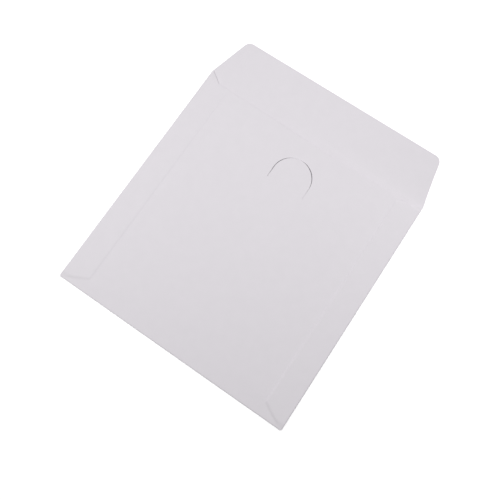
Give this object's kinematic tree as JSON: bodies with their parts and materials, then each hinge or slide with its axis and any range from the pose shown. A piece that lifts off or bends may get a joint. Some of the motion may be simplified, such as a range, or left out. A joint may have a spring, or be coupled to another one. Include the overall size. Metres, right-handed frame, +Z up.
{
  "type": "cd sleeve",
  "caption": "Folded and glued white card sleeve for a disc, with a tapered closure flap lying open and a U-shaped tongue slit in the front panel.",
  "frame": {"origin": "under the middle of the opened sleeve, on the surface its back panel lies on", "axes": "+X across the sleeve, +Y from the bottom fold towards the closure flap, +Z up, out of the front panel"},
  "size_m": [0.126, 0.1502, 0.006],
  "materials": {
    "white_card": "matte"
  },
  "bodies": {
    "root": {"folded_card_sleeve": "white_card"}
  },
  "joints": []
}
